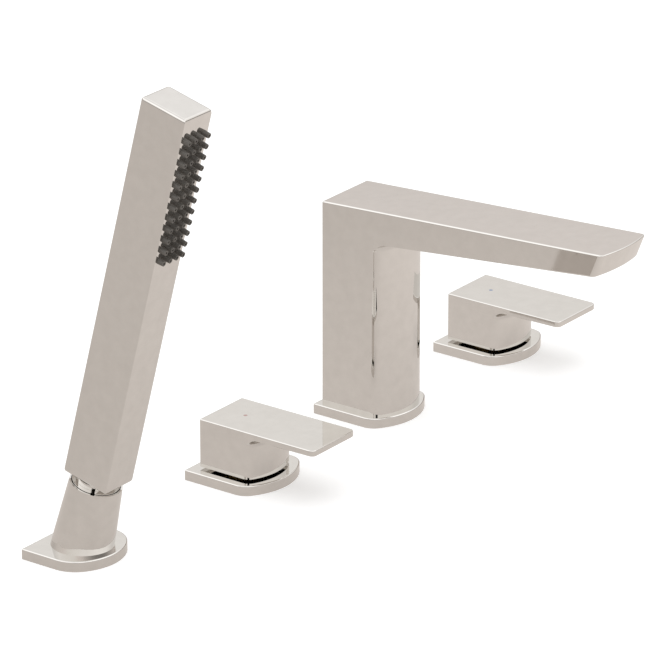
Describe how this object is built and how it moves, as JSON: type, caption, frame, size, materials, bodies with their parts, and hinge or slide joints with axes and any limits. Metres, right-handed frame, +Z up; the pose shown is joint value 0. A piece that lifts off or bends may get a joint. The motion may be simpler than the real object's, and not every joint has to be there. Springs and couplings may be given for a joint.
{
  "type": "bath shower mixer",
  "caption": "Deck-mounted bath filler set in polished chrome: flat lever valves, a tall rising spout and a square stick handset leaning in a round holder.",
  "frame": {"origin": "the spout's vertical axis where it meets the top of the deck", "axes": "+X along the row from the handset holder to the cold valve, -Y the way the spout and levers point, +Z up"},
  "size_m": [0.4062, 0.1899, 0.3406],
  "materials": {
    "chrome_plate": "mirror-polished chrome plating",
    "plain_brass": "machined, slightly dull",
    "steel": "turned stainless",
    "black_rubber": "matt",
    "grey_rubber": "soft silicone, matt",
    "ceramic": "lapped ceramic",
    "white_plastic": "moulded",
    "dark_plastic": "moulded",
    "red_mark": "enamel",
    "blue_mark": "enamel"
  },
  "bodies": {
    "fixed_set": {"spout_body": "chrome_plate", "spout_plate": "chrome_plate", "spout_plate_seal": "black_rubber", "spout_riser": "plain_brass", "spout_rubber_washer": "black_rubber", "spout_steel_washer": "steel", "spout_back_nut": "plain_brass", "spout_insert_shell": "chrome_plate", "spout_insert_grid": "dark_plastic", "spout_insert_ring": "black_rubber", "hot_fixed_disc": "ceramic", "hot_disc_seal": "black_rubber", "hot_cartridge": "plain_brass", "hot_plate": "chrome_plate", "hot_plate_seal": "black_rubber", "hot_valve_body": "plain_brass", "hot_clamp_ring": "plain_brass", "hot_rubber_washer": "black_rubber", "hot_steel_washer": "steel", "hot_back_nut": "plain_brass", "cold_fixed_disc": "ceramic", "cold_disc_seal": "black_rubber", "cold_cartridge": "plain_brass", "cold_plate": "chrome_plate", "cold_plate_seal": "black_rubber", "cold_valve_body": "plain_brass", "cold_clamp_ring": "plain_brass", "cold_rubber_washer": "black_rubber", "cold_steel_washer": "steel", "cold_back_nut": "plain_brass", "handset_holder": "chrome_plate", "holder_plate": "chrome_plate", "holder_plate_seal": "black_rubber", "holder_bush": "dark_plastic", "holder_threaded_tube": "plain_brass", "holder_rubber_washer": "black_rubber", "holder_steel_washer": "steel", "holder_back_nut": "plain_brass"},
    "hot_handle": {"hot_lever": "chrome_plate", "hot_spot": "red_mark", "hot_grub_screw": "steel", "hot_adapter": "white_plastic", "hot_spindle": "plain_brass", "hot_spindle_ring": "black_rubber", "hot_moving_disc": "ceramic"},
    "cold_handle": {"cold_lever": "chrome_plate", "cold_spot": "blue_mark", "cold_grub_screw": "steel", "cold_adapter": "white_plastic", "cold_spindle": "plain_brass", "cold_spindle_ring": "black_rubber", "cold_moving_disc": "ceramic"},
    "hose_end": {"hose_nut": "chrome_plate", "hose_washer": "black_rubber"},
    "handset": {"handset_bar": "chrome_plate", "handset_spray_plate": "chrome_plate", "handset_nozzles": "grey_rubber", "handset_inlet": "chrome_plate"}
  },
  "joints": [
    {"name": "hot_turn", "type": "hinge", "parent": "fixed_set", "child": "hot_handle", "pos_m": [-0.114, 0, 0], "axis": [0, 0, 1], "range_deg": [-90, 0]},
    {"name": "cold_turn", "type": "hinge", "parent": "fixed_set", "child": "cold_handle", "pos_m": [0.112, 0, 0], "axis": [0, 0, 1], "range_deg": [0, 90]},
    {"name": "handset_lift", "type": "slide", "parent": "fixed_set", "child": "hose_end", "axis": [0, -0.247, 0.969], "range_m": [0, 0.2]},
    {"name": "handset_swivel", "type": "hinge", "parent": "hose_end", "child": "handset", "pos_m": [-0.245, 0.0048, 0.0056], "axis": [0, -0.247, 0.969], "continuous": true}
  ]
}
